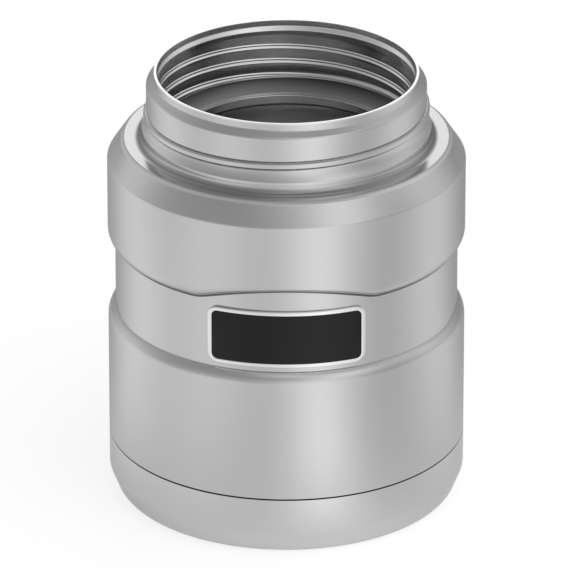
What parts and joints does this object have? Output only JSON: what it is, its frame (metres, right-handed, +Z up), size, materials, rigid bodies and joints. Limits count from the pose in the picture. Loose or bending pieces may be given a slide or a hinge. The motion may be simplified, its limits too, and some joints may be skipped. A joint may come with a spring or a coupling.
{
  "type": "insulated food jar",
  "caption": "Open body of a wide-mouth vacuum food jar: double-walled stainless vessel with a recessed waist, screw neck, narrowed throat, base cap and blank badge.",
  "frame": {"origin": "centre of the foot ring, on the surface that the jar stands on", "axes": "+Z up through the mouth along the jar's axis, -Y towards the badge, +X to the right when the badge is faced"},
  "size_m": [0.094, 0.094, 0.1182],
  "materials": {
    "shell_steel": "fine satin",
    "liner_steel": "bright turned finish",
    "bottom_steel": "mill finish",
    "foil": "bright creased foil",
    "getter": "pressed metal powder",
    "solder_glass": "fused, slightly glossy",
    "bond": "cured adhesive",
    "badge_metal": "bright pressed rim",
    "badge_black": "baked black enamel",
    "tape": "adhesive film"
  },
  "bodies": {
    "root": {"outer_shell": "shell_steel", "inner_liner": "liner_steel", "liner_floor": "liner_steel", "foil_wrap": "foil", "foil_disc": "foil", "getter_pellet": "getter", "getter_strap": "bottom_steel", "vacuum_bottom": "bottom_steel", "vent_seal": "solder_glass", "bond_ring": "bond", "base_cap": "shell_steel", "badge_tape": "tape", "badge_plate": "badge_metal", "badge_enamel": "badge_black"}
  },
  "joints": []
}
